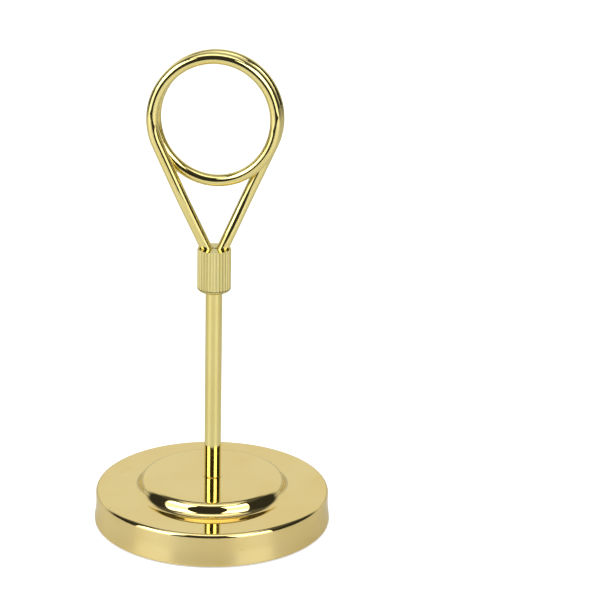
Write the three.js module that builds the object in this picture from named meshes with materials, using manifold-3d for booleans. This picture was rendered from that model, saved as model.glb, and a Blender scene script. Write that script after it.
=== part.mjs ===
// A table number holder: a two-coil spring ring that pinches a card, held by a fluted collar
// that screws on a slim post, which stands on a weighted round base.
// Millimetres, +Z up. The origin is the centre of the foot, on the table. The ring lies in the XZ
// plane, and -Y is the front.

import * as THREE from "three";
import { mergeVertices } from "three/addons/utils/BufferGeometryUtils.js";
import Module from "manifold-3d";

const wasm = await Module();
wasm.setup();

// ---- Driving dimensions --------------------------------------------------------------------

// Base cover: a pressed shell of gold-plated steel.
const sheet = 0.5; // thickness of the sheet
const lipRadius = 22.5; // widest point, at the flared lower edge
const lipBottom = 0.3; // the lip clears the table by this much
const lipHeight = 0.5; // straight part of the lip
const flareHeight = 2.4; // height over which the lip runs in to the skirt
const edgeRadius = 22.3; // the lip's lower edge, turned slightly in
const edgeHeight = 0.3; // height over which it turns in
const coverHole = 1.35; // centre hole, round the post's lower thread
const skirtRadius = 22.2;
const rimFillet = 0.8; // rolled shoulder between the skirt and the outer flat
const flatHeight = 6.6; // the outer flat ring of the base
const plateauHeight = 8.8; // the raised centre
const plateauFlatRadius = 12.4; // where the raised centre starts to roll over
const plateauShoulder = 1.4; // radius of that convex roll
const plateauRoot = 1.5; // radius of the concave roll below it
const plateauSlope = THREE.MathUtils.degToRad(69); // of the straight side between the two rolls

// Post: a plain rod with a reduced M2.5 thread at each end.
const postRadius = 1.575;
const postTop = 46.1;
const threadRadius = 1.25;
const lowerStudEnd = 1.9;
const upperStudLength = 3.6;

// Collar: a fluted sleeve.
const collarRadius = 3.15;
const collarLength = 8.3;
const collarGap = 0.05; // running clearance between the collar and the post's shoulder
const collarBore = 1.32; // lower bore, on the post's thread
const socketDepth = 4.4; // of the two bores that hold the clip's legs, from the collar's top
const legClearance = 0.06; // round each leg
const fluteCount = 30;
const fluteDepth = 0.16;
const bottomChamfer = 0.5;
const topChamfer = 0.08;

// Ring clip: one spring wire, bent into two coils side by side.
const wireRadius = 1.1;
const ringHalfWidth = 11.2; // centreline of the coils, which the legs pull slightly oval
const ringHalfHeight = 11.55;
const ringHeight = 79.05;
const coilOffset = 1.15; // each coil's distance from the plane of the card
const coilShift = 0.18; // each coil is sprung this far sideways, towards its own leg
const legSpacing = 1.15; // each leg's distance from the axis inside the collar
const legBend = 1.5; // bend radius where a leg starts to lean out, just below the collar's top
const bendStart = 53.3;
const wireEndGap = 0.3; // between the wire's ends and the bottom of their bores
const legRamp = 0.6; // share of a leg, from the collar up, over which it moves out to its coil

// Weight, pad and fastening inside the base.
const padRadius = 21.3;
const padThickness = 1.5;
const ballastRadius = 21.4;
const ballastTop = 6.0;
const bossRadius = 11.4;
const ballastHole = 1.45;
const pocketRadius = 4.2;
const pocketTop = 5.3;
const washerRadius = 3.0;
const washerThickness = 0.5;
const washerHole = 1.35;
const springWasherRadius = 2.55;
const springWasherThickness = 0.6;
const springWasherSlot = 0.6;
const nutAcrossFlats = 5.0;
const nutThickness = 2.0;
const nutHole = 1.32;

// Fineness of the facets.
const wideSegments = 64; // round the base
const smallSegments = 32; // round the post, collar, bores and fasteners
const wireSides = 10;
const wireSteps = 130;
const filletSteps = 3;

// ---- Materials -----------------------------------------------------------------------------

const gold = new THREE.MeshStandardMaterial({ color: 0xe0c27a, roughness: 0.08, metalness: 1 });
const iron = new THREE.MeshStandardMaterial({ color: 0x4a4744, roughness: 0.75, metalness: 1 });
const zinc = new THREE.MeshStandardMaterial({ color: 0xb9bcc0, roughness: 0.3, metalness: 1 });
const foam = new THREE.MeshStandardMaterial({ color: 0x1c1c1e, roughness: 0.95, metalness: 0 });

// ---- Helpers -------------------------------------------------------------------------------

// Points of an arc in a profile, from one angle to another, both ends included.
function arc(centre, radius, fromAngle, toAngle, steps = filletSteps) {
  return Array.from({ length: steps + 1 }, (_, i) => {
    const angle = fromAngle + ((toAngle - fromAngle) * i) / steps;
    return [centre[0] + radius * Math.cos(angle), centre[1] + radius * Math.sin(angle)];
  });
}

// A closed profile of [radius, height] points, clockwise with the axis on its left, turned
// about Z. A lathe faces outwards when its profile runs the other way round.
function turned(profile, segments) {
  const outline = [...profile, profile[0]].reverse().map(([r, z]) => new THREE.Vector2(r, z));
  return new THREE.LatheGeometry(outline, segments).rotateX(Math.PI / 2);
}

// A flat plate with the given outline and an optional round hole, standing on height z.
function plate(outline, thickness, z, holeRadius = 0) {
  const shape = new THREE.Shape(outline);
  if (holeRadius) {
    const hole = new THREE.Path().absarc(0, 0, holeRadius, 0, 2 * Math.PI, true);
    shape.holes.push(hole);
  }
  const options = { depth: thickness, bevelEnabled: false, curveSegments: smallSegments };
  return new THREE.ExtrudeGeometry(shape, options).translate(0, 0, z);
}

// Corners of a regular polygon about the axis.
function polygon(radius, sides, turn = 0) {
  return Array.from({ length: sides }, (_, i) => {
    const angle = turn + (2 * Math.PI * i) / sides;
    return new THREE.Vector2(radius * Math.cos(angle), radius * Math.sin(angle));
  });
}

// A three.js geometry as a solid that can be joined and cut.
function solidOf(geometry) {
  const bare = geometry.index ? geometry.toNonIndexed() : geometry.clone();
  bare.deleteAttribute("normal");
  bare.deleteAttribute("uv");
  const merged = mergeVertices(bare, 1e-4);
  const mesh = new wasm.Mesh({
    numProp: 3,
    vertProperties: merged.attributes.position.array,
    triVerts: new Uint32Array(merged.index.array),
  });
  return new wasm.Manifold(mesh);
}

function geometryOf(solid) {
  const mesh = solid.getMesh();
  const geometry = new THREE.BufferGeometry();
  geometry.setAttribute("position", new THREE.BufferAttribute(mesh.vertProperties, 3));
  geometry.setIndex(new THREE.BufferAttribute(mesh.triVerts, 1));
  geometry.computeVertexNormals();
  return geometry;
}

function part(name, geometry, material) {
  const mesh = new THREE.Mesh(geometry, material);
  mesh.name = name;
  return mesh;
}

// ---- Base cover ----------------------------------------------------------------------------

// The shell's upper surface from the centre hole out and down to the lip, set in by `inset`
// along its normal: 0 gives the outside and the sheet's thickness gives the inside. A short
// straight side joins the two rolls of the raised centre.
function coverSurface(inset) {
  const rolls = plateauShoulder + plateauRoot;
  const drop = plateauHeight - flatHeight - rolls * (1 - Math.cos(plateauSlope));
  const reach = rolls * Math.sin(plateauSlope) + drop / Math.tan(plateauSlope);
  const steepest = Math.PI / 2 - plateauSlope;
  const shoulderCentre = [plateauFlatRadius, plateauHeight - plateauShoulder];
  const rootCentre = [plateauFlatRadius + reach, flatHeight + plateauRoot];
  const rimCentre = [skirtRadius - rimFillet, flatHeight - rimFillet];
  const lipTop = lipBottom + lipHeight;
  return [
    [coverHole, plateauHeight - inset],
    ...arc(shoulderCentre, plateauShoulder - inset, Math.PI / 2, steepest),
    ...arc(rootCentre, plateauRoot + inset, steepest + Math.PI, 1.5 * Math.PI),
    ...arc(rimCentre, rimFillet - inset, Math.PI / 2, 0),
    [skirtRadius - inset, lipTop + flareHeight],
    [lipRadius - inset, lipTop],
  ];
}

function baseCover() {
  const outside = coverSurface(0);
  const inside = coverSurface(sheet).reverse();
  const lowerEdge = [
    [lipRadius, lipBottom + edgeHeight],
    [edgeRadius, lipBottom],
    [lipRadius - sheet, lipBottom],
  ];
  return turned([...outside, ...lowerEdge, ...inside], wideSegments);
}

// ---- Weight and pad ------------------------------------------------------------------------

function ballastDisc() {
  const bossTop = plateauHeight - sheet;
  const chamfer = 0.5;
  const profile = [
    [ballastHole, bossTop],
    [bossRadius - chamfer, bossTop],
    [bossRadius, bossTop - chamfer],
    [bossRadius, ballastTop],
    [ballastRadius - rimFillet, ballastTop],
    [ballastRadius, ballastTop - rimFillet],
    [ballastRadius, padThickness],
    [pocketRadius, padThickness],
    [pocketRadius, pocketTop],
    [ballastHole, pocketTop],
  ];
  return turned(profile, wideSegments);
}

function footPad() {
  const softEdge = 0.2;
  const profile = [
    [0, padThickness],
    [padRadius, padThickness],
    [padRadius, softEdge],
    [padRadius - softEdge, 0],
    [0, 0],
  ];
  return turned(profile, wideSegments);
}

// ---- Fastening under the weight ------------------------------------------------------------

const washerBottom = pocketTop - washerThickness;
const springWasherBottom = washerBottom - springWasherThickness;
const nutBottom = springWasherBottom - nutThickness;

function flatWasher() {
  return plate(polygon(washerRadius, smallSegments), washerThickness, washerBottom, washerHole);
}

// A washer split on one side, pressed flat.
function lockWasher() {
  const halfSlot = springWasherSlot / 2;
  const outerTurn = Math.asin(halfSlot / springWasherRadius);
  const innerTurn = Math.asin(halfSlot / washerHole);
  const shape = new THREE.Shape();
  shape.absarc(0, 0, springWasherRadius, outerTurn, 2 * Math.PI - outerTurn, false);
  shape.absarc(0, 0, washerHole, 2 * Math.PI - innerTurn, innerTurn, true);
  const options = { depth: springWasherThickness, bevelEnabled: false, curveSegments: 28 };
  return new THREE.ExtrudeGeometry(shape, options).translate(0, 0, springWasherBottom);
}

// A hexagon nut: its corners are cut back by a cone at both faces.
function hexNut() {
  const cornerRadius = nutAcrossFlats / 2 / Math.cos(Math.PI / 6);
  const hexagon = plate(polygon(cornerRadius, 6), nutThickness, nutBottom, nutHole);
  const drop = 0.25; // of the cone, from the face's circle to the corners
  const margin = 0.1;
  const faceRadius = nutAcrossFlats / 2;
  const cones = turned(
    [
      [0, nutBottom + nutThickness],
      [faceRadius, nutBottom + nutThickness],
      [cornerRadius + margin, nutBottom + nutThickness - drop],
      [cornerRadius + margin, nutBottom + drop],
      [faceRadius, nutBottom],
      [0, nutBottom],
    ],
    smallSegments,
  );
  return geometryOf(solidOf(hexagon).intersect(solidOf(cones)));
}

// ---- Post ----------------------------------------------------------------------------------

function post() {
  const chamfer = 0.2;
  const studTop = postTop + upperStudLength;
  const profile = [
    [0, studTop],
    [threadRadius - chamfer, studTop],
    [threadRadius, studTop - chamfer],
    [threadRadius, postTop],
    [postRadius - chamfer, postTop],
    [postRadius, postTop - chamfer],
    [postRadius, plateauHeight],
    [threadRadius, plateauHeight],
    [threadRadius, lowerStudEnd + chamfer],
    [threadRadius - chamfer, lowerStudEnd],
    [0, lowerStudEnd],
  ];
  return turned(profile, smallSegments);
}

// ---- Collar --------------------------------------------------------------------------------

const collarBottom = postTop + collarGap;
const collarTop = collarBottom + collarLength;
const socketBottom = collarTop - socketDepth;

// The fluted outline: each flute is a shallow valley between two crests.
function flutedOutline() {
  const outline = [];
  for (let i = 0; i < 2 * fluteCount; i += 1) {
    const radius = i % 2 ? collarRadius - fluteDepth : collarRadius;
    const angle = (Math.PI * i) / fluteCount;
    outline.push(new THREE.Vector2(radius * Math.cos(angle), radius * Math.sin(angle)));
  }
  return outline;
}

function knurledCollar() {
  const margin = 0.5;
  const fluted = plate(flutedOutline(), collarLength + 2 * margin, collarBottom - margin);
  const envelope = turned(
    [
      [0, collarTop],
      [collarRadius - topChamfer, collarTop],
      [collarRadius, collarTop - topChamfer],
      [collarRadius, collarBottom + bottomChamfer],
      [collarRadius - bottomChamfer, collarBottom],
      [0, collarBottom],
    ],
    smallSegments,
  );
  const studBore = bar(collarBore, socketBottom + 2 * margin - collarBottom);
  const body = solidOf(fluted)
    .intersect(solidOf(envelope))
    .subtract(solidOf(studBore.translate(0, 0, collarBottom - margin)))
    .subtract(legBore(-1))
    .subtract(legBore(1));
  return geometryOf(body);
}

// A round bar that stands on the origin.
function bar(radius, length) {
  const cylinder = new THREE.CylinderGeometry(radius, radius, length, smallSegments);
  return cylinder.rotateX(Math.PI / 2).translate(0, 0, length / 2);
}

// The hole for one leg: upright from the bottom of the socket to the corner of the leg's bend,
// then leaning out with the leg. The two parts run past the corner, so that they meet all round.
function legBore(side) {
  const radius = wireRadius + legClearance;
  const { legAngle } = clipWire;
  const corner = bendStart + legBend * Math.tan(legAngle / 2);
  const overrun = radius * Math.tan(legAngle / 2);
  const upright = bar(radius, corner + overrun - socketBottom);
  const leaning = bar(radius, socketDepth).translate(0, 0, -overrun).rotateY(side * legAngle);
  upright.translate(side * legSpacing, 0, socketBottom);
  leaning.translate(side * legSpacing, 0, corner);
  return solidOf(upright).add(solidOf(leaning));
}

// ---- Ring clip -----------------------------------------------------------------------------

// Smooth step from 0 to 1.
function ease(t) {
  const x = Math.min(Math.max(t, 0), 1);
  return x * x * (3 - 2 * x);
}

// The wire's centreline: up the left leg, over the front coil, under the ring from front to
// back, over the back coil and down the right leg. It is the same from both ends when seen
// from the front and from the back, so one half is worked out and the other is turned round.
class ClipWire extends THREE.Curve {
  constructor() {
    super();
    const bendCentre = new THREE.Vector2(-legSpacing - legBend, bendStart);
    const toRing = new THREE.Vector2(-coilShift, ringHeight).sub(bendCentre);
    // The leg's straight line touches the bend on one side and the oval coil on the other. The
    // coil's reach towards the line depends on the lean, so the two are worked out in turns.
    let reach = ringHalfWidth;
    for (let pass = 0; pass < 8; pass += 1) {
      const lean = Math.asin((reach + legBend) / toRing.length());
      this.legAngle = lean - Math.atan2(toRing.x, toRing.y);
      reach = Math.hypot(
        ringHalfWidth * Math.cos(this.legAngle),
        ringHalfHeight * Math.sin(this.legAngle),
      );
    }
    this.coilAngle = Math.atan2(
      ringHalfHeight * Math.sin(this.legAngle),
      ringHalfWidth * Math.cos(this.legAngle),
    );
    this.coilTurn = 1.5 * Math.PI + this.coilAngle;
    this.bendCentre = bendCentre;
    this.bendEnd = new THREE.Vector2(
      bendCentre.x + legBend * Math.cos(this.legAngle),
      bendCentre.y + legBend * Math.sin(this.legAngle),
    );
    this.ringStart = new THREE.Vector2(
      -coilShift - ringHalfWidth * Math.cos(this.coilAngle),
      ringHeight - ringHalfHeight * Math.sin(this.coilAngle),
    );
    this.straight = bendStart - (socketBottom + wireEndGap);
    this.bend = legBend * this.legAngle;
    this.leg = this.bendEnd.distanceTo(this.ringStart);
    this.coil = ((ringHalfWidth + ringHalfHeight) / 2) * this.coilTurn;
    this.half = this.straight + this.bend + this.leg + this.coil;
  }

  // A point on the first half, a distance along the wire from its lower left end.
  firstHalf(distance) {
    let d = distance;
    if (d < this.straight) {
      return new THREE.Vector3(-legSpacing, 0, bendStart - this.straight + d);
    }
    d -= this.straight;
    if (d < this.bend) {
      const angle = d / legBend;
      const x = this.bendCentre.x + legBend * Math.cos(angle);
      return new THREE.Vector3(x, 0, this.bendCentre.y + legBend * Math.sin(angle));
    }
    d -= this.bend;
    if (d < this.leg) {
      const place = this.bendEnd.clone().lerp(this.ringStart, d / this.leg);
      const offset = coilOffset * ease(d / this.leg / legRamp);
      return new THREE.Vector3(place.x, -offset, place.y);
    }
    d -= this.leg;
    const angle = Math.PI + this.coilAngle - (d / this.coil) * this.coilTurn;
    const side = this.side(angle);
    const x = ringHalfWidth * Math.cos(angle) - coilShift * side;
    const z = ringHeight + ringHalfHeight * Math.sin(angle);
    return new THREE.Vector3(x, -coilOffset * side, z);
  }

  // Which coil the wire belongs to at an angle on the ring: 1 on the front one, falling to -1 on
  // the back one. It crosses over between the two points where the legs meet the ring.
  side(angle) {
    const crossed = (-this.coilAngle - angle) / (Math.PI - 2 * this.coilAngle);
    return 1 - 2 * ease(crossed);
  }

  getPoint(t, target = new THREE.Vector3()) {
    const distance = t * 2 * this.half;
    if (distance <= this.half) {
      return target.copy(this.firstHalf(distance));
    }
    const mirrored = this.firstHalf(2 * this.half - distance);
    return target.set(-mirrored.x, -mirrored.y, mirrored.z);
  }
}

const clipWire = new ClipWire();

function ringClip() {
  const section = new THREE.Shape(polygon(wireRadius, wireSides, Math.PI / wireSides));
  const options = { steps: wireSteps, extrudePath: clipWire, bevelEnabled: false };
  return new THREE.ExtrudeGeometry(section, options);
}

// ---- Assembly ------------------------------------------------------------------------------

const stand = new THREE.Group();
stand.add(
  part("base_cover", baseCover(), gold),
  part("ballast_disc", ballastDisc(), iron),
  part("foot_pad", footPad(), foam),
  part("post", post(), gold),
  part("flat_washer", flatWasher(), zinc),
  part("lock_washer", lockWasher(), zinc),
  part("hex_nut", hexNut(), zinc),
);

const head = new THREE.Group();
head.add(part("knurled_collar", knurledCollar(), gold), part("ring_clip", ringClip(), gold));

const holder = new THREE.Group();
holder.add(stand, head);

export default holder;
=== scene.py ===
"""The looks of a table number holder: polished gold-tone plating, in a plain white studio.

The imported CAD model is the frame. Every visible CAD solid is replaced by a fine mesh of the same
size in the same place: turned pieces are revolved from rounded profiles, the clip is a round wire
swept along its real path, and the threads and flutes are cut into their surfaces.
"""

import math

import bpy
from mathutils import Matrix, Vector


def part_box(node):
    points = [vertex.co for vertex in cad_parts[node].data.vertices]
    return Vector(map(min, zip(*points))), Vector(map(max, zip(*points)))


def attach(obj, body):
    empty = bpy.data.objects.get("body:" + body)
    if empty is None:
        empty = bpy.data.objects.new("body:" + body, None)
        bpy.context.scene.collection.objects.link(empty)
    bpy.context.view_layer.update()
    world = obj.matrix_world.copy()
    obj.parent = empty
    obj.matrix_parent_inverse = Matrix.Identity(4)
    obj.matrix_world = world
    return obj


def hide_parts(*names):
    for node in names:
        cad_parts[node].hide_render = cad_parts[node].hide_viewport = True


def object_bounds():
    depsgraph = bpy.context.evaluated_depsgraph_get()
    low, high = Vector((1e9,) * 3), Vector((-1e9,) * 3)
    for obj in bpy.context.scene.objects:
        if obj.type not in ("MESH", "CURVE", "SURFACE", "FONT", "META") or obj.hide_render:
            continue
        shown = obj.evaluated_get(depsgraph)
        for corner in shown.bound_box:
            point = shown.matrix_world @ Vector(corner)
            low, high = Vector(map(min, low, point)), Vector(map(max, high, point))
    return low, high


MM = 0.001

# ---- Shape details, in millimetres ------------------------------------------------------------

SHEET = 0.5  # thickness of the pressed cover
COVER_HOLE = 1.35
COVER_HOLE_EDGE = 0.03
SEAT_RADIUS = 2.0  # the shallow dish that the clamped post presses in the cover
SEAT_DEPTH = 0.1
SEAT_RUN = 0.15  # width of the dish's sloping side
SEAT_ROUNDING = 0.1
FLAT_HEIGHT = 6.6  # the cover's outer flat ring
SKIRT_RADIUS = 22.2
RIM_FILLET = 0.8
PLATEAU_RADIUS = 12.4  # where the raised centre starts to roll over
PLATEAU_SHOULDER = 1.4
PLATEAU_ROOT = 1.5
PLATEAU_SLOPE = math.radians(69)  # of the straight side between those two rolls
FLARE_TOP = 3.2
FLARE_BOTTOM = 0.8
FLARE_ROUNDING = (4.0, 0.8)  # where the skirt starts to flare, and where it is straight again
LIP_ROUNDING = (0.2, 0.15)  # of the lower edge, outside and inside

THREAD_RADIUS = 1.25
THREAD_PITCH = 0.45
THREAD_DEPTH = 0.26  # cut in the studs
THREAD_DEPTH_INSIDE = 0.18  # cut in the collar and the nut
THREAD_FLANK = 1.6  # slope of the groove's sides: above 1 leaves a flat crest and root
STUD_END = 0.2
STUD_ROOT = 0.05
SHOULDER_ROUNDING = 0.2
POST_FOOT_ROUNDING = 0.12

COLLAR_GAP = 0.05  # running clearance between the collar and the post's shoulder
SOCKET_DEPTH = 4.4  # of the two leg bores
COLLAR_BORE = 1.32  # and the nut's, both threaded
COLLAR_TOP_ROUNDING = 0.07
COLLAR_TAPER = (0.6, 0.35)  # of its lower end, in and up
COLLAR_TAPER_ROUNDING = (0.7, 0.25)  # where the taper starts, and where it ends
RIM_ROUNDING = 0.05
LEG_CLEARANCE = 0.06
BORE_CORE = 0.2  # the leg bores are open at least this far round the axis
FLUTES = 30
FLUTE_DEPTH = 0.16

WIRE_RADIUS = 1.1
WIRE_SIDES = 40
WIRE_END_CHAMFER = 0.15
WIRE_STEP = 0.3  # between the points of its path
RING_HALF_WIDTH = 11.2
RING_HALF_HEIGHT = 11.55
RING_HEIGHT = 79.05
COIL_OFFSET = 1.15  # each coil's distance in front of the post's axis, or behind it
COIL_SHIFT = 0.18  # each coil's distance to the side
LEG_SPACING = 1.15  # each leg's distance from the axis inside the collar
LEG_BEND = 1.5  # bend radius where a leg starts to lean out
BEND_START = 53.3
LEG_RAMP = 0.6  # share of a leg, from the collar up, over which it moves out to its coil

BOSS_RADIUS = 11.4
BALLAST_TOP = 6.0
BALLAST_HOLE = 1.45
POCKET_RADIUS = 4.2
POCKET_TOP = 5.3

NUT_ACROSS_FLATS = 5.0
WASHER_HOLE = 1.35
LOCK_WASHER_SLOT = 0.6
LOCK_WASHER_CHAMFER = 0.07

COVER_SEGMENTS = 256  # round the cover
DISC_SEGMENTS = 160  # round the weight and the foot pad
ON_AXIS = 1e-9  # a radius below this is on the axis
LEVEL = 1e-6  # a slope below this is level, and a turn below this is straight

# ---- Camera and studio ------------------------------------------------------------------------

CAMERA_AZIMUTH = math.radians(3.0)  # right of the ring's front
CAMERA_DISTANCE = 400.0  # from the post's axis, along the table
CAMERA_HEIGHT = 185.5
CAMERA_PITCH = math.radians(19.41)
CAMERA_TURN = math.radians(2.294)  # to the right of the post
CAMERA_ROLL = math.radians(1.25)
CAMERA_LENS = 136.7  # on the 36 mm sensor

TABLE_FRONT = 280.0  # the table ends this far in front of the post
TABLE_REACH = 3000.0  # and this far to its sides and behind it

WHITE = 0.97  # radiance of the white paper behind the object
HORIZON = 0.7  # of its foot, where it meets the table
DARK = 0.04  # of the dim room
CEILING = 0.12  # high up all round
ZENITH = 0.85  # straight above
SOFTBOX = 4.0  # of the two softboxes
SOFTBOX_EDGE = 1.7  # of their dimmer lower edges
OVERHEAD_STRIP = 1.4

# Name, degrees round the post from the camera, degrees up, and metres wide and high.
SOFTBOXES = (
    ("softbox_left", -56.5, 37, (0.30, 0.28)),
    ("softbox_right", 40.5, 35, (0.28, 0.24)),
)
SOFTBOX_DISTANCE = 0.45
SOFTBOX_EDGE_ELEVATION = 10
SOFTBOX_EDGE_HEIGHT = 0.16

# Where the surround changes, as the share of a direction that points up, or to the back.
HORIZON_TO_WHITE = (0.1, 0.25)
ROOM_TO_PAPER = (0.3, 0.55)
WALLS_TO_CEILING = (0.68, 0.8)
CEILING_TO_ZENITH = (0.87, 0.92)

BACKDROP = 1.0  # what the camera sees beyond the table
PAPER_LIFT = 0.6  # radiance added to the table near the object, where the camera sees it
PAPER_FADE = (0.1, 0.6)  # metres from the post over which it becomes as white as the backdrop


# ---- Profiles and meshes ----------------------------------------------------------------------


def box_mm(node):
    """A CAD node's lowest and highest corners at rest, in millimetres."""
    low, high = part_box(node)
    return low / MM, high / MM


def rounded_profile(corners, steps=10, spacing=None):
    """A closed outline of (radius, height, fillet) corners, clockwise with the axis on its left.

    Returns (radius, height, normal_r, normal_z) points. A fillet is an arc with exact normals, and
    a run that isn't level gets extra points where a spacing is given.
    """
    points = []
    count = len(corners)
    for i, (r, z, fillet) in enumerate(corners):
        here = Vector((r, z))
        before = here - Vector(corners[i - 1][:2])
        after = Vector(corners[(i + 1) % count][:2]) - here
        a, b = before.normalized(), after.normalized()
        normal_a, normal_b = Vector((-a.y, a.x)), Vector((-b.y, b.x))
        turn = math.atan2(a.x * b.y - a.y * b.x, a.dot(b))
        if spacing and points and abs(a.y) > LEVEL:
            last = Vector(points[-1][:2])
            run = (here - last).length
            for k in range(1, int(run / spacing)):
                at = last.lerp(here, k * spacing / run)
                points.append((at.x, at.y, normal_a.x, normal_a.y))
        if fillet and abs(turn) > LEVEL:
            centre = here - a * fillet * math.tan(abs(turn) / 2)
            centre -= normal_a * fillet * (1 if turn < 0 else -1)
            for k in range(steps + 1):
                share = turn * k / steps
                normal = Matrix.Rotation(share, 2) @ normal_a
                at = centre + normal * fillet * (1 if turn < 0 else -1)
                points.append((at.x, at.y, normal.x, normal.y))
        else:
            flat = normal_a if r < ON_AXIS < corners[i - 1][0] else normal_b
            normal = flat if r < ON_AXIS else (normal_a + normal_b).normalized()
            points.append((r, z, normal.x, normal.y))
    return points


def new_object(name, vertices, faces, normals=None):
    """A smooth mesh object from millimetre vertices, with its own vertex normals if given."""
    mesh = bpy.data.meshes.new(name)
    mesh.from_pydata([Vector(v) * MM for v in vertices], [], faces)
    mesh.shade_smooth()
    if normals:
        mesh.normals_split_custom_set_from_vertices(normals)
    mesh.validate()
    mesh.update()
    obj = bpy.data.objects.new(name, mesh)
    bpy.context.scene.collection.objects.link(obj)
    return obj


def area_normals(vertices, faces):
    """Vertex normals weighted by face area, so that a broad flat face stays flat to its edges."""
    normals = [Vector((0, 0, 0)) for _ in vertices]
    for face in faces:
        a, b, c, d = (Vector(vertices[i]) for i in (*face[:3], face[-1]))
        normal = (c - a).cross(d - b)
        for i in face:
            normals[i] += normal
    return [normal.normalized() for normal in normals]


def revolve(name, profile, segments, shape=None):
    """Turns a closed profile about Z. shape(angle, radius, height) may move a point's radius."""
    vertices, normals, rings = [], [], []
    for r, z, nr, nz in profile:
        if r < ON_AXIS:
            rings.append([len(vertices)] * segments)
            vertices.append((0, 0, z))
            normals.append((0, 0, math.copysign(1, nz)))
            continue
        rings.append([len(vertices) + k for k in range(segments)])
        for k in range(segments):
            angle = 2 * math.pi * k / segments
            c, s = math.cos(angle), math.sin(angle)
            radius = shape(angle, r, z) if shape else r
            vertices.append((radius * c, radius * s, z))
            normals.append((nr * c, nr * s, nz))
    faces = []
    for ring, after in zip(rings, rings[1:] + rings[:1]):
        for k in range(segments):
            n = (k + 1) % segments
            corners = [ring[k], after[k], after[n], ring[n]]
            face = list(dict.fromkeys(corners))
            if len(face) > 2:
                faces.append(face)
    return new_object(name, vertices, faces, area_normals(vertices, faces) if shape else normals)


def sweep(name, frames, section):
    """A closed bar: the (u, v) section placed in each (origin, u_axis, v_axis) frame."""
    sides = len(section)
    vertices = [o + u * a + v * b for o, a, b in frames for u, v in section]
    faces = []
    for i in range(len(frames) - 1):
        low, high = i * sides, (i + 1) * sides
        for k in range(sides):
            n = (k + 1) % sides
            faces.append([low + k, low + n, high + n, high + k])
    last = (len(frames) - 1) * sides
    faces.append(list(range(sides))[::-1])
    faces.append([last + k for k in range(sides)])
    return new_object(name, vertices, faces)


def thread(radius, depth, low, high, sign=-1):
    """A shape that cuts a helical thread between two heights. sign is 1 inside a bore."""

    def cut(angle, r, z):
        if abs(r - radius) > 0.02 or not low < z < high:
            return r
        phase = (z / THREAD_PITCH - angle / (2 * math.pi)) % 1
        groove = min(1, THREAD_FLANK * (1 - abs(2 * phase - 1)))
        fade = min(1, (z - low) / THREAD_PITCH, (high - z) / THREAD_PITCH)
        return r + sign * depth * groove * fade

    return cut


# ---- Pieces -----------------------------------------------------------------------------------


def base_cover():
    low, high = box_mm("base_cover")
    top, bottom, lip = high.z, low.z, high.x
    shoulder = PLATEAU_RADIUS + PLATEAU_SHOULDER * math.tan(PLATEAU_SLOPE / 2)
    root = shoulder + (top - FLAT_HEIGHT) / math.tan(PLATEAU_SLOPE)
    half_sheet = math.tan(PLATEAU_SLOPE / 2) * SHEET
    corners = [
        (COVER_HOLE, top - SEAT_DEPTH, COVER_HOLE_EDGE),
        (SEAT_RADIUS - SEAT_RUN, top - SEAT_DEPTH, SEAT_ROUNDING),
        (SEAT_RADIUS, top, SEAT_ROUNDING),
        (shoulder, top, PLATEAU_SHOULDER),
        (root, FLAT_HEIGHT, PLATEAU_ROOT),
        (SKIRT_RADIUS, FLAT_HEIGHT, RIM_FILLET),
        (SKIRT_RADIUS, FLARE_TOP, FLARE_ROUNDING[0]),
        (lip, FLARE_BOTTOM, FLARE_ROUNDING[1]),
        (lip, bottom, LIP_ROUNDING[0]),
        (lip - SHEET, bottom, LIP_ROUNDING[1]),
        (lip - SHEET, FLARE_BOTTOM, FLARE_ROUNDING[1]),
        (SKIRT_RADIUS - SHEET, FLARE_TOP, FLARE_ROUNDING[0]),
        (SKIRT_RADIUS - SHEET, FLAT_HEIGHT - SHEET, RIM_FILLET - SHEET),
        (root - half_sheet, FLAT_HEIGHT - SHEET, PLATEAU_ROOT + SHEET),
        (shoulder - half_sheet, top - SHEET, PLATEAU_SHOULDER - SHEET),
        (COVER_HOLE, top - SHEET, COVER_HOLE_EDGE),
    ]
    cover = revolve("base_cover_shell", rounded_profile(corners, steps=18), COVER_SEGMENTS)
    return finished(cover, "stand", "base_cover", "cover_gold")


def ballast_disc():
    low, high = box_mm("ballast_disc")
    corners = [
        (BALLAST_HOLE, high.z, 0.15),
        (BOSS_RADIUS, high.z, 0.6),
        (BOSS_RADIUS, BALLAST_TOP, 0.4),
        (high.x, BALLAST_TOP, RIM_FILLET + 0.2),
        (high.x, low.z, 0.3),
        (POCKET_RADIUS, low.z, 0.3),
        (POCKET_RADIUS, POCKET_TOP, 0.3),
        (BALLAST_HOLE, POCKET_TOP, 0.15),
    ]
    disc = revolve("ballast_casting", rounded_profile(corners, steps=6), DISC_SEGMENTS)
    return finished(disc, "stand", "ballast_disc", "cast_iron")


def foot_pad():
    low, high = box_mm("foot_pad")
    corners = [
        (0, high.z, 0),
        (high.x, high.z, 0.1),
        (high.x, low.z, 0.25),
        (0, low.z, 0),
    ]
    pad = revolve("foot_pad_disc", rounded_profile(corners, steps=8), DISC_SEGMENTS)
    return finished(pad, "stand", "foot_pad", "foam_pad")


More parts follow.
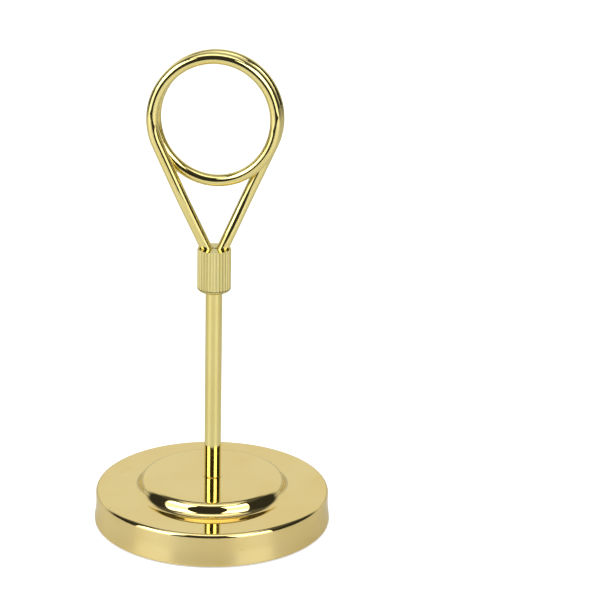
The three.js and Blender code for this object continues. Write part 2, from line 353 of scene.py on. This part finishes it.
def post():
    low, high = box_mm("post")
    radius = high.x
    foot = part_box("base_cover")[1].z / MM
    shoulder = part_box("knurled_collar")[0].z / MM - COLLAR_GAP
    corners = [
        (0, high.z, 0),
        (THREAD_RADIUS, high.z, STUD_END),
        (THREAD_RADIUS, shoulder, STUD_ROOT),
        (radius, shoulder, SHOULDER_ROUNDING),
        (radius, foot - SEAT_DEPTH, POST_FOOT_ROUNDING),
        (THREAD_RADIUS, foot - SEAT_DEPTH, STUD_ROOT),
        (THREAD_RADIUS, low.z, STUD_END),
        (0, low.z, 0),
    ]
    upper = thread(THREAD_RADIUS, THREAD_DEPTH, shoulder + 0.3, high.z - 0.1)
    lower = thread(THREAD_RADIUS, THREAD_DEPTH, low.z + 0.1, POCKET_TOP + 1.0)

    def studs(angle, r, z):
        return upper(angle, r, z) if z > shoulder else lower(angle, r, z)

    # Only the studs need points all along them: the plain rod between them needs its two ends.
    profile = rounded_profile(corners, steps=6, spacing=THREAD_PITCH / 10)
    rod = [p for p in profile if p[0] < radius - 0.01 or not foot + 0.3 < p[1] < shoulder - 0.4]
    return finished(revolve("post_rod", rod, 64, studs), "stand", "post", "post_gold")


def flat_washer():
    low, high = box_mm("flat_washer")
    corners = [
        (WASHER_HOLE, high.z, 0.04),
        (high.x, high.z, 0.12),
        (high.x, low.z, 0.05),
        (WASHER_HOLE, low.z, 0.08),
    ]
    washer = revolve("flat_washer_ring", rounded_profile(corners, steps=5), 96)
    return finished(washer, "stand", "flat_washer", "washer_zinc")


def lock_washer():
    """A split ring, pressed flat, with its two cut ends facing each other."""
    low, high = box_mm("lock_washer")
    middle = (low.z + high.z) / 2
    inner, outer, half = WASHER_HOLE, high.y, (high.z - low.z) / 2
    centre = (inner + outer) / 2
    gap = LOCK_WASHER_SLOT / 2 / centre
    steps = 96
    edge = LOCK_WASHER_CHAMFER
    wide = (outer - inner) / 2
    section = [(wide, half - edge), (wide - edge, half), (edge - wide, half), (-wide, half - edge)]
    section += [(-u, -v) for u, v in section]
    frames = []
    for k in range(steps + 1):
        angle = gap + (2 * math.pi - 2 * gap) * k / steps
        outward = Vector((math.cos(angle), math.sin(angle), 0))
        frames.append((outward * centre + Vector((0, 0, middle)), outward, Vector((0, 0, 1))))
    washer = sweep("lock_washer_ring", frames, section[::-1])
    return finished(washer, "stand", "lock_washer", "spring_steel")


def hex_nut():
    low, high = box_mm("hex_nut")
    corner = NUT_ACROSS_FLATS / 2 / math.cos(math.pi / 6)
    face = NUT_ACROSS_FLATS / 2 - 0.1
    corners = [
        (COLLAR_BORE, high.z, 0.12),
        (face, high.z, 0.05),
        (corner, high.z - 0.25, 0.05),
        (corner, low.z + 0.25, 0.05),
        (face, low.z, 0.05),
        (COLLAR_BORE, low.z, 0.12),
    ]
    bore = thread(COLLAR_BORE, THREAD_DEPTH_INSIDE, low.z, high.z, sign=1)

    def hexagon(angle, r, z):
        across = (angle + math.pi / 6) % (math.pi / 3) - math.pi / 6
        flat = NUT_ACROSS_FLATS / 2 / math.cos(across)
        return bore(angle, min(r, flat), z)

    profile = rounded_profile(corners, steps=4, spacing=0.05)
    return finished(revolve("hex_nut_body", profile, 192, hexagon), "stand", "hex_nut", "nut_zinc")


def far_side(angle, centre, radius, squash):
    """Distance from the axis to the far side of an oval hole beside it, or 0 where it misses."""
    c, s = abs(math.cos(angle)) * squash, math.sin(angle)
    a = c * c + s * s
    b = c * centre * squash
    root = b * b - a * ((centre * squash) ** 2 - radius * radius)
    return (b + math.sqrt(root)) / a if root > 0 else 0


def knurled_collar():
    """The fluted sleeve. Its two leg bores are drawn as one hole that reaches as far as both."""
    low, high = box_mm("knurled_collar")
    radius = high.x
    socket = high.z - SOCKET_DEPTH
    bore_radius = WIRE_RADIUS + LEG_CLEARANCE
    reach = LEG_SPACING + bore_radius
    corners = [
        (COLLAR_BORE, socket, 0.05),
        (reach, socket, RIM_ROUNDING),
        (reach, high.z, RIM_ROUNDING),
        (radius, high.z, COLLAR_TOP_ROUNDING),
        (radius, low.z + COLLAR_TAPER[1], COLLAR_TAPER_ROUNDING[0]),
        (radius - COLLAR_TAPER[0], low.z, COLLAR_TAPER_ROUNDING[1]),
        (COLLAR_BORE, low.z, 0.1),
    ]
    screw = thread(COLLAR_BORE, THREAD_DEPTH_INSIDE, low.z, socket, sign=1)
    lean = leg_lean()
    corner = BEND_START + LEG_BEND * math.tan(lean / 2)
    overrun = bore_radius * math.tan(lean / 2)

    def leg_bores(angle, r, z):
        if z < socket or abs(r - reach) > RIM_ROUNDING + 0.01:
            return r
        sizes = [BORE_CORE]
        if z < corner + overrun:
            sizes.append(far_side(angle, LEG_SPACING, bore_radius, 1))
        if z > corner:
            centre = LEG_SPACING + (z - corner) * math.tan(lean)
            sizes.append(far_side(angle, centre, bore_radius, math.cos(lean)))
        return r - reach + max(sizes)

    def shape(angle, r, z):
        wave = 0.5 - 0.5 * math.cos(FLUTES * angle)
        return screw(angle, min(leg_bores(angle, r, z), radius - FLUTE_DEPTH * wave), z)

    profile = rounded_profile(corners, steps=8, spacing=0.1)
    collar = revolve("knurled_collar_body", profile, FLUTES * 16, shape)
    return finished(collar, "head", "knurled_collar", "collar_gold")


def ease(t):
    x = min(max(t, 0.0), 1.0)
    return x * x * (3 - 2 * x)


def leg_lean():
    """The angle at which each leg leans out, touching its bend and its oval coil."""
    to_ring = Vector((LEG_SPACING + LEG_BEND - COIL_SHIFT, RING_HEIGHT - BEND_START))
    reach = RING_HALF_WIDTH
    for _ in range(8):
        lean = math.asin((reach + LEG_BEND) / to_ring.length) - math.atan2(*to_ring)
        reach = math.hypot(RING_HALF_WIDTH * math.cos(lean), RING_HALF_HEIGHT * math.sin(lean))
    return lean


def wire_half(spacing):
    """The clip's centreline from its lower left end to the lowest point of the coils."""
    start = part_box("ring_clip")[0].z / MM
    bend = Vector((-LEG_SPACING - LEG_BEND, BEND_START))
    lean = leg_lean()
    c, s = math.cos(lean), math.sin(lean)
    bend_end = bend + LEG_BEND * Vector((c, s))
    meeting = math.atan2(RING_HALF_HEIGHT * s, RING_HALF_WIDTH * c)
    turn = 1.5 * math.pi + meeting
    points = []

    def on_oval(angle, shift):
        return Vector(
            (
                RING_HALF_WIDTH * math.cos(angle) - shift,
                RING_HEIGHT + RING_HALF_HEIGHT * math.sin(angle),
            )
        )

    def stretch(length, place):
        count = max(2, round(length / spacing))
        points.extend(place(k / count) for k in range(count))

    def in_collar(t):
        return Vector((-LEG_SPACING, 0, start + t * (BEND_START - start)))

    def on_bend(t):
        x = bend.x + LEG_BEND * math.cos(t * lean)
        return Vector((x, 0, bend.y + LEG_BEND * math.sin(t * lean)))

    def on_leg(t):
        at = bend_end.lerp(ring_start, t)
        return Vector((at.x, -COIL_OFFSET * ease(t / LEG_RAMP), at.y))

    def on_coil(t):
        angle = math.pi + meeting - t * turn
        crossed = (-meeting - angle) / (math.pi - 2 * meeting)
        side = 1 - 2 * ease(crossed)
        at = on_oval(angle, COIL_SHIFT * side)
        return Vector((at.x, -COIL_OFFSET * side, at.y))

    ring_start = on_oval(math.pi + meeting, COIL_SHIFT)
    stretch(BEND_START - start, in_collar)
    stretch(LEG_BEND * lean * 3, on_bend)
    stretch((ring_start - bend_end).length, on_leg)
    stretch(RING_HALF_HEIGHT * turn, on_coil)
    return points


def ring_clip():
    """One round wire. Its second half is its first half turned half round the post."""
    half = wire_half(WIRE_STEP)
    lowest = Vector((0, 0, RING_HEIGHT - RING_HALF_HEIGHT))
    path = half + [lowest] + [Vector((-p.x, -p.y, p.z)) for p in reversed(half)]
    side_axis = Vector((0, 1, 0))
    frames = []
    for i, at in enumerate(path):
        ahead = path[min(i + 1, len(path) - 1)] - path[max(i - 1, 0)]
        tangent = ahead.normalized()
        side_axis = (side_axis - tangent * side_axis.dot(tangent)).normalized()
        frames.append((at, side_axis.copy(), tangent.cross(side_axis)))
    ends = [frames[0], frames[-1]]
    narrow = 1 - WIRE_END_CHAMFER
    chamfered = [(o, a * narrow, b * narrow) for o, a, b in ends]
    lift = Vector((0, 0, WIRE_END_CHAMFER))
    frames[0] = (frames[0][0] + lift, *frames[0][1:])
    frames[-1] = (frames[-1][0] + lift, *frames[-1][1:])
    frames = [chamfered[0], *frames, chamfered[1]]
    angles = [2 * math.pi * k / WIRE_SIDES for k in range(WIRE_SIDES)]
    section = [(WIRE_RADIUS * math.cos(t), WIRE_RADIUS * math.sin(t)) for t in angles]
    return finished(sweep("ring_clip_wire", frames, section), "head", "ring_clip", "wire_gold")


# ---- Materials --------------------------------------------------------------------------------


DEEPER_GOLD = (0.97, 0.93, 0.84)  # share of the tint where the plating's tone drifts
PIT_TONE = 0.6  # share of the tint in a pit
FLUTE_SHADE_TONE = 0.76  # share of the tint at the bottom of a flute, painted shade in its hollow
EDGE_TINT = 0.2  # power of the tint at a grazing angle: 0 is white, 1 is the full tint


class Nodes:
    """A material's node tree, with short calls for what the finishes below share."""

    def __init__(self, name):
        self.material = bpy.data.materials.new(name)
        self.material.use_nodes = True
        self.tree = self.material.node_tree
        self.shader = self.tree.nodes["Principled BSDF"]
        self.place = self.add("ShaderNodeTexCoord").outputs["Object"]

    def add(self, kind, **settings):
        node = self.tree.nodes.new(kind)
        for key, value in settings.items():
            setattr(node, key, value)
        return node

    def link(self, source, target):
        self.tree.links.new(source, target)

    def noise(self, size, detail=3.0, roughness=0.5, stretch=None):
        """Noise whose patches are about size metres across."""
        node = self.add("ShaderNodeTexNoise")
        node.inputs["Scale"].default_value = 1 / size
        node.inputs["Detail"].default_value = detail
        node.inputs["Roughness"].default_value = roughness
        source = self.place
        if stretch:
            mapping = self.add("ShaderNodeMapping")
            mapping.inputs["Scale"].default_value = stretch
            self.link(source, mapping.inputs["Vector"])
            source = mapping.outputs["Vector"]
        self.link(source, node.inputs["Vector"])
        return node.outputs["Fac"]

    def spread(self, value, low, high, to_low, to_high):
        """value from low..high to to_low..to_high, held at both ends."""
        node = self.add("ShaderNodeMapRange")
        for key, number in zip(
            ("From Min", "From Max", "To Min", "To Max"), (low, high, to_low, to_high)
        ):
            node.inputs[key].default_value = number
        self.link(value, node.inputs["Value"])
        return node.outputs["Result"]

    def from_axis(self):
        """Distance from the post's axis, in metres."""
        flat = self.add("ShaderNodeVectorMath", operation="MULTIPLY")
        flat.inputs[1].default_value = (1, 1, 0)
        self.link(self.place, flat.inputs[0])
        length = self.add("ShaderNodeVectorMath", operation="LENGTH")
        self.link(flat.outputs["Vector"], length.inputs[0])
        return length.outputs["Value"]

    def maths(self, operation, a, b):
        node = self.add("ShaderNodeMath", operation=operation)
        for socket, value in zip(node.inputs, (a, b)):
            if isinstance(value, (int, float)):
                socket.default_value = value
            else:
                self.link(value, socket)
        return node.outputs["Value"]

    def mix(self, factor, first, second):
        node = self.add("ShaderNodeMix", data_type="RGBA")
        self.link(factor, node.inputs["Factor"])
        for key, value in ((6, first), (7, second)):
            if isinstance(value, tuple):
                node.inputs[key].default_value = (*value, 1)
            else:
                self.link(value, node.inputs[key])
        return node.outputs[2]

    def bump(self, height, depth, after=None):
        """Relief of about depth metres, on top of another bump's normal if one is given."""
        node = self.add("ShaderNodeBump")
        node.inputs["Strength"].default_value = 1.0
        node.inputs["Distance"].default_value = depth
        self.link(height, node.inputs["Height"])
        if after:
            self.link(after, node.inputs["Normal"])
        return node.outputs["Normal"]


def polished_gold(name, tint, roughness, groove=False):
    """Bright gold-tone plating: slight tone drift, a few fine pits and hairline polishing marks.

    With groove it is painted a little darker at the bottom of the collar's flutes, as shade in
    their hollows.
    """
    nodes = Nodes(name)
    deeper = tuple(c * k for c, k in zip(tint, DEEPER_GOLD))
    drift = nodes.spread(nodes.noise(size=0.012, detail=2), 0.35, 0.7, 0, 1)
    colour = nodes.mix(drift, tint, deeper)
    pits = nodes.spread(nodes.noise(size=0.0007, detail=1), 0.77, 0.82, 0, 1)
    colour = nodes.mix(pits, colour, tuple(c * PIT_TONE for c in tint))
    # painted shade: darker towards the bottom of each flute, where the hollow is shaded
    if groove:
        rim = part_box("knurled_collar")[1].x
        crest = nodes.spread(nodes.from_axis(), rim - FLUTE_DEPTH * MM, rim - 0.02 * MM, 0, 1)
        colour = nodes.mix(crest, tuple(c * FLUTE_SHADE_TONE for c in tint), colour)
    nodes.link(colour, nodes.shader.inputs["Base Color"])
    hairlines = nodes.noise(size=0.0012, detail=4, stretch=(1, 1, 0.08))
    marks = nodes.spread(hairlines, 0.55, 0.75, 0, 0.05)
    haze = nodes.spread(nodes.noise(size=0.006, detail=3), 0.4, 0.75, 0, 0.04)
    rough = nodes.maths("ADD", nodes.maths("ADD", marks, haze), roughness)
    nodes.link(rough, nodes.shader.inputs["Roughness"])
    nodes.shader.inputs["Metallic"].default_value = 1.0
    nodes.shader.inputs["Specular Tint"].default_value = (*(c ** EDGE_TINT for c in tint), 1)
    wave = nodes.bump(nodes.noise(size=0.005, detail=1), 0.000002)
    grain = nodes.bump(nodes.noise(size=0.00025, detail=2), 0.0000003, after=wave)
    nodes.link(grain, nodes.shader.inputs["Normal"])
    return nodes.material


def cast_iron(name):
    nodes = Nodes(name)
    rust = nodes.spread(nodes.noise(size=0.004, detail=5), 0.55, 0.75, 0, 1)
    nodes.link(
        nodes.mix(rust, (0.075, 0.07, 0.066), (0.12, 0.06, 0.035)),
        nodes.shader.inputs["Base Color"],
    )
    grain = nodes.noise(size=0.0006, detail=6, roughness=0.65)
    nodes.link(nodes.spread(grain, 0.3, 0.7, 0.5, 0.85), nodes.shader.inputs["Roughness"])
    nodes.shader.inputs["Metallic"].default_value = 0.7
    nodes.link(nodes.bump(grain, 0.00012), nodes.shader.inputs["Normal"])
    return nodes.material


def plated_steel(name, light, dark, roughness):
    nodes = Nodes(name)
    cloud = nodes.spread(nodes.noise(size=0.0012, detail=4), 0.35, 0.7, 0, 1)
    nodes.link(nodes.mix(cloud, light, dark), nodes.shader.inputs["Base Color"])
    grain = nodes.noise(size=0.00015, detail=3)
    rough = nodes.spread(grain, 0.3, 0.7, roughness - 0.07, roughness + 0.08)
    nodes.link(rough, nodes.shader.inputs["Roughness"])
    nodes.shader.inputs["Metallic"].default_value = 1.0
    nodes.link(nodes.bump(grain, 0.000004), nodes.shader.inputs["Normal"])
    return nodes.material


def foam(name):
    """Closed-cell foam: matte black with fine open cells on its cut faces, each painted darker
    towards its hollow middle as shade.
    """
    nodes = Nodes(name)
    cells = nodes.add("ShaderNodeTexVoronoi", feature="F1")
    cells.inputs["Scale"].default_value = 2600
    nodes.link(nodes.place, cells.inputs["Vector"])
    depth = nodes.spread(cells.outputs["Distance"], 0.0, 0.6, 0, 1)
    # painted shade: the colour darkens towards each cell's hollow middle, following the bump's
    # depth
    nodes.link(
        nodes.mix(depth, (0.009, 0.009, 0.01), (0.028, 0.028, 0.03)),
        nodes.shader.inputs["Base Color"],
    )
    nodes.shader.inputs["Roughness"].default_value = 0.92
    nodes.link(nodes.bump(depth, 0.00012), nodes.shader.inputs["Normal"])
    return nodes.material


def white_paper(name):
    """White paper, overexposed a little where the camera sees it, as plain backgrounds are."""
    nodes = Nodes(name)
    drift = nodes.noise(size=0.3, detail=2)
    nodes.link(
        nodes.mix(drift, (0.82, 0.82, 0.82), (0.8, 0.8, 0.805)),
        nodes.shader.inputs["Base Color"],
    )
    nodes.shader.inputs["Roughness"].default_value = 0.44
    nodes.shader.inputs["Emission Color"].default_value = (1, 1, 1, 1)
    seen = nodes.add("ShaderNodeLightPath").outputs["Is Camera Ray"]
    lift = nodes.spread(nodes.from_axis(), *PAPER_FADE, PAPER_LIFT, BACKDROP)
    nodes.link(nodes.maths("MULTIPLY", seen, lift), nodes.shader.inputs["Emission Strength"])
    return nodes.material


FINISHES = {
    "cover_gold": lambda name: polished_gold(name, (0.745, 0.61, 0.275), 0.03),
    "post_gold": lambda name: polished_gold(name, (0.75, 0.655, 0.27), 0.04),
    "collar_gold": lambda name: polished_gold(name, (0.75, 0.66, 0.29), 0.05, groove=True),
    "wire_gold": lambda name: polished_gold(name, (0.75, 0.655, 0.27), 0.04),
    "cast_iron": cast_iron,
    "washer_zinc": lambda name: plated_steel(name, (0.56, 0.58, 0.6), (0.44, 0.46, 0.49), 0.3),
    "spring_steel": lambda name: plated_steel(name, (0.2, 0.2, 0.21), (0.13, 0.13, 0.14), 0.38),
    "nut_zinc": lambda name: plated_steel(name, (0.58, 0.59, 0.6), (0.46, 0.47, 0.49), 0.26),
    "foam_pad": foam,
}


def finished(piece, body, node, slot):
    """Gives a piece its material, attaches it to the body it rides on and hides the CAD node it
    stands for.
    """
    piece.data.materials.append(FINISHES[slot](slot))
    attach(piece, body)
    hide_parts(node)
    return piece


# ---- Studio -----------------------------------------------------------------------------------


def make_camera():
    """Sets the camera by its place round the post, its pitch, its turn and its small roll."""
    data = bpy.data.cameras.new("camera")
    data.sensor_width = 36
    data.lens = CAMERA_LENS
    data.clip_start = 0.01
    data.clip_end = 100
    camera = bpy.data.objects.new("camera", data)
    place = Vector(
        (
            CAMERA_DISTANCE * math.sin(CAMERA_AZIMUTH),
            -CAMERA_DISTANCE * math.cos(CAMERA_AZIMUTH),
            CAMERA_HEIGHT,
        )
    )
    heading = Matrix.Rotation(CAMERA_AZIMUTH - CAMERA_TURN, 4, "Z")
    pitch = Matrix.Rotation(math.pi / 2 - CAMERA_PITCH, 4, "X")
    roll = Matrix.Rotation(CAMERA_ROLL, 4, "Z")
    camera.matrix_world = Matrix.Translation(place * MM) @ heading @ pitch @ roll
    bpy.context.scene.collection.objects.link(camera)
    bpy.context.scene.camera = camera


def make_floor():
    """A white tabletop, level with the foot. It ends a short way in front of the object."""
    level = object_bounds()[0].z / MM
    corners = [
        (-TABLE_REACH, -TABLE_FRONT, level),
        (TABLE_REACH, -TABLE_FRONT, level),
        (TABLE_REACH, TABLE_REACH, level),
        (-TABLE_REACH, TABLE_REACH, level),
    ]
    floor = new_object("studio_floor", corners, [[0, 1, 2, 3]])
    floor.data.materials.append(white_paper("studio_paper"))


def from_post(azimuth, elevation):
    """A direction from the post. Azimuth 0 is the camera's, and positive is to its right."""
    a = CAMERA_AZIMUTH + math.radians(azimuth)
    e = math.radians(elevation)
    return Vector((math.sin(a) * math.cos(e), -math.cos(a) * math.cos(e), math.sin(e)))


def make_softbox(name, azimuth, elevation, distance, size, radiance):
    """An even rectangular light that faces the object, in metres and degrees."""
    width, height = size
    data = bpy.data.lights.new(name, "AREA")
    data.shape = "RECTANGLE"
    data.size = width
    data.size_y = height
    data.energy = radiance * math.pi * width * height
    light = bpy.data.objects.new(name, data)
    out = from_post(azimuth, elevation)
    light.location = out * distance
    light.rotation_mode = "QUATERNION"
    light.rotation_quaternion = out.to_track_quat("Z", "Y")
    light.visible_camera = False
    bpy.context.scene.collection.objects.link(light)


def make_surround():
    """White paper behind the object, a bright zenith and a dim room, and white for the camera."""
    world = bpy.data.worlds.new("studio_surround")
    world.use_nodes = True
    tree = world.node_tree
    direction = tree.nodes.new("ShaderNodeTexCoord").outputs["Generated"]

    def step(axis, low, high):
        """0 to 1 as the direction's share along the axis goes from low to high."""
        share = tree.nodes.new("ShaderNodeVectorMath")
        share.operation = "DOT_PRODUCT"
        share.inputs[1].default_value = axis
        tree.links.new(direction, share.inputs[0])
        ramp = tree.nodes.new("ShaderNodeMapRange")
        ramp.interpolation_type = "SMOOTHSTEP"
        ramp.inputs["From Min"].default_value = low
        ramp.inputs["From Max"].default_value = high
        tree.links.new(share.outputs["Value"], ramp.inputs["Value"])
        return ramp.outputs["Result"]

    def blend(factor, first, second):
        mix = tree.nodes.new("ShaderNodeMix")
        mix.data_type = "RGBA"
        tree.links.new(factor, mix.inputs["Factor"])
        for key, value in ((6, first), (7, second)):
            if isinstance(value, float):
                mix.inputs[key].default_value = (value, value, value, 1)
            else:
                tree.links.new(value, mix.inputs[key])
        return mix.outputs[2]

    up = Vector((0, 0, 1))
    paper = blend(step(up, *HORIZON_TO_WHITE), HORIZON, WHITE)
    room = blend(step(from_post(180, 0), *ROOM_TO_PAPER), DARK, paper)
    room = blend(step(up, *WALLS_TO_CEILING), room, CEILING)
    room = blend(step(up, *CEILING_TO_ZENITH), room, ZENITH)
    seen = tree.nodes.new("ShaderNodeLightPath").outputs["Is Camera Ray"]
    tree.links.new(blend(seen, room, BACKDROP), tree.nodes["Background"].inputs["Color"])
    bpy.context.scene.world = world


def make_studio():
    make_camera()
    make_floor()
    make_surround()
    for name, azimuth, elevation, size in SOFTBOXES:
        make_softbox(name, azimuth, elevation, SOFTBOX_DISTANCE, size, SOFTBOX)
        make_softbox(
            name + "_edge",
            azimuth,
            SOFTBOX_EDGE_ELEVATION,
            SOFTBOX_DISTANCE,
            size=(size[0], SOFTBOX_EDGE_HEIGHT),
            radiance=SOFTBOX_EDGE,
        )
    make_softbox("overhead_strip", 0, 75, 0.6, size=(0.6, 0.2), radiance=OVERHEAD_STRIP)
    bpy.context.scene.view_settings.view_transform = "Standard"


# ---- The whole scene --------------------------------------------------------------------------

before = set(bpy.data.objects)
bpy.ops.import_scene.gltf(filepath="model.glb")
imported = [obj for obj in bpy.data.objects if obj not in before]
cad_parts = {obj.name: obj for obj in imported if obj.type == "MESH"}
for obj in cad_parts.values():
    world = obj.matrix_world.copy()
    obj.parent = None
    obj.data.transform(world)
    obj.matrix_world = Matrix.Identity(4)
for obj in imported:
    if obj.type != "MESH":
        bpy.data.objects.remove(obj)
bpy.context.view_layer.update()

make_studio()
base_cover()
ballast_disc()
foot_pad()
post()
flat_washer()
lock_washer()
hex_nut()
knurled_collar()
ring_clip()
